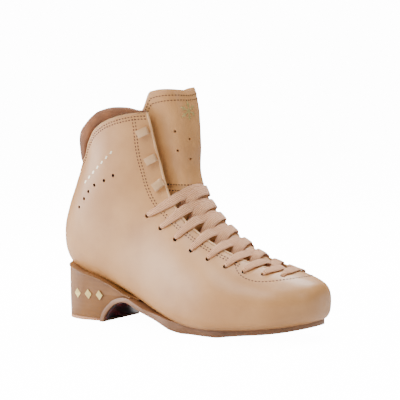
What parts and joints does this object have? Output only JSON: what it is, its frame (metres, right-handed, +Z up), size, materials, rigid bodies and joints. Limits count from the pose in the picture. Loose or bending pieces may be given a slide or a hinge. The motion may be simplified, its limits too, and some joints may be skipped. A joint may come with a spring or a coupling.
{
  "type": "figure skating boot",
  "caption": "Laced ankle-high leather boot with a raised heel, padded collar, tongue, speed hooks and a flat sole for a blade.",
  "frame": {"origin": "centre of the footprint box on the ground plane", "axes": "+X towards the toe, +Y towards the inner side of the foot, +Z up; a right-foot boot"},
  "size_m": [0.2734, 0.0918, 0.2159],
  "materials": {
    "tan_leather": "smooth satin full-grain leather",
    "lining_leather": "fine matt lining leather",
    "suede": "brushed suede",
    "fibreboard": "pressed fibre stiffener",
    "cork": "cork filler",
    "steel": "plain steel",
    "sole_leather": "smooth sole leather",
    "gloss_lacquer": "black lacquer with a dark red pattern",
    "heel_leather": "stacked leather, covered and polished",
    "top_piece_rubber": "firm rubber",
    "felt": "pressed wool felt",
    "aglet_film": "crimped film tip",
    "lace_cloth": "flat woven lace",
    "fitting_metal": "beige painted steel"
  },
  "bodies": {
    "boot": {"upper": "tan_leather", "lining": "lining_leather", "collar_padding": "suede", "heel_counter": "fibreboard", "toe_puff": "fibreboard", "throat_reinforcement": "fibreboard", "facing_reinforcement_outer": "fibreboard", "facing_reinforcement_inner": "fibreboard", "insole_board": "fibreboard", "footbed": "suede", "cork_filler": "cork", "shank": "steel", "outsole": "sole_leather", "breast_panel": "gloss_lacquer", "heel_block": "heel_leather", "heel_top_piece": "top_piece_rubber", "heel_screw": "steel", "tongue_lower": "tan_leather", "tongue_felt_lower": "felt", "eyelet_outer_1": "fitting_metal", "eyelet_outer_2": "fitting_metal", "eyelet_outer_3": "fitting_metal", "eyelet_outer_4": "fitting_metal", "eyelet_outer_5": "fitting_metal", "eyelet_outer_6": "fitting_metal", "eyelet_outer_7": "fitting_metal", "eyelet_outer_8": "fitting_metal", "eyelet_outer_9": "fitting_metal", "hook_outer_1": "fitting_metal", "hook_rivet_outer_1": "fitting_metal", "hook_outer_2": "fitting_metal", "hook_rivet_outer_2": "fitting_metal", "hook_outer_3": "fitting_metal", "hook_rivet_outer_3": "fitting_metal", "eyelet_inner_1": "fitting_metal", "eyelet_inner_2": "fitting_metal", "eyelet_inner_3": "fitting_metal", "eyelet_inner_4": "fitting_metal", "eyelet_inner_5": "fitting_metal", "eyelet_inner_6": "fitting_metal", "eyelet_inner_7": "fitting_metal", "eyelet_inner_8": "fitting_metal", "eyelet_inner_9": "fitting_metal", "hook_inner_1": "fitting_metal", "hook_rivet_inner_1": "fitting_metal", "hook_inner_2": "fitting_metal", "hook_rivet_inner_2": "fitting_metal", "hook_inner_3": "fitting_metal", "hook_rivet_inner_3": "fitting_metal", "lace": "lace_cloth", "lace_end_outer": "lace_cloth", "aglet_outer": "aglet_film", "lace_end_inner": "lace_cloth", "aglet_inner": "aglet_film"},
    "tongue": {"tongue_upper": "tan_leather", "tongue_felt_upper": "felt"}
  },
  "joints": [
    {"name": "tongue_flex", "type": "hinge", "parent": "boot", "child": "tongue", "pos_m": [0.00895, 0.00157, 0.127], "axis": [0, 1, 0], "range_deg": [-18, 0]}
  ]
}
